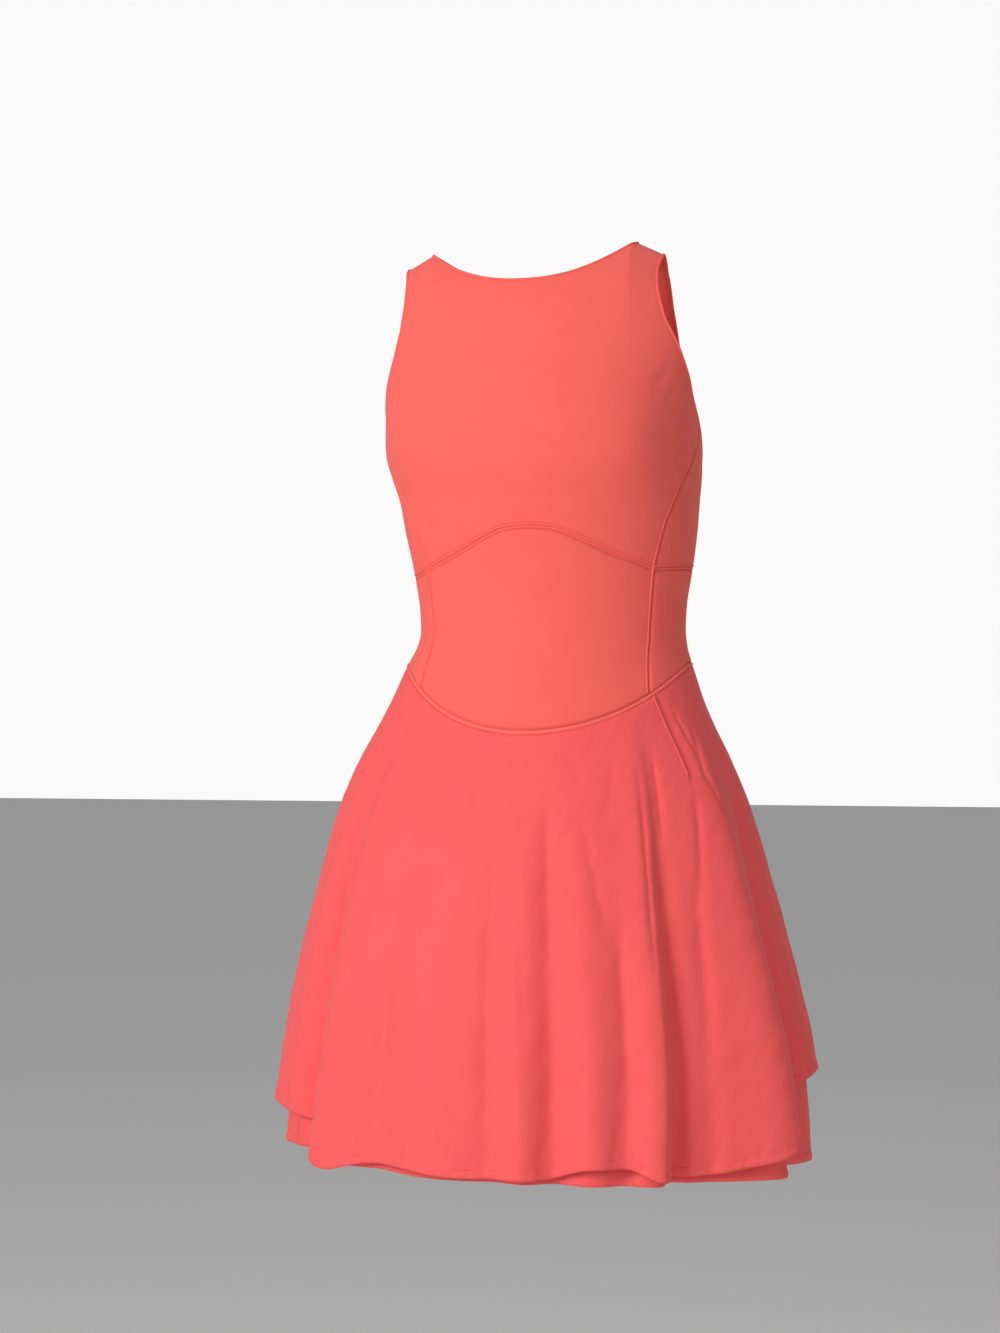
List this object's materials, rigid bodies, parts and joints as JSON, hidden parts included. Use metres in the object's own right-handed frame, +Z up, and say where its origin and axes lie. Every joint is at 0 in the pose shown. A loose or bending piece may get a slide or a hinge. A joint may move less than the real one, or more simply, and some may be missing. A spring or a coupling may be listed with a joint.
{
  "type": "tennis dress",
  "caption": "Sleeveless tennis dress in its worn, hollow form: fitted princess-cut bodice, arched underbust seam, dropped waist seam and a flared two-layer skirt.",
  "frame": {"origin": "midway between the two shoulder seams, at the level of the shoulders that carry the dress", "axes": "+Z up, -Y towards the front of the dress, +X towards the wearer's left"},
  "size_m": [0.4736, 0.4041, 0.7931],
  "materials": {
    "bodice_knit": "matte brushed stretch knit, coral",
    "skirt_woven": "light smooth woven stretch cloth with fine creases, coral"
  },
  "bodies": {
    "root": {"front_bodice": "bodice_knit", "back_bodice": "bodice_knit", "side_upper_left": "bodice_knit", "side_upper_right": "bodice_knit", "side_lower_left": "bodice_knit", "side_lower_right": "bodice_knit", "front_midriff": "bodice_knit", "back_midriff": "bodice_knit", "outer_skirt_front": "skirt_woven", "outer_skirt_back": "skirt_woven", "inner_skirt_front": "skirt_woven", "inner_skirt_back": "skirt_woven"}
  },
  "joints": []
}
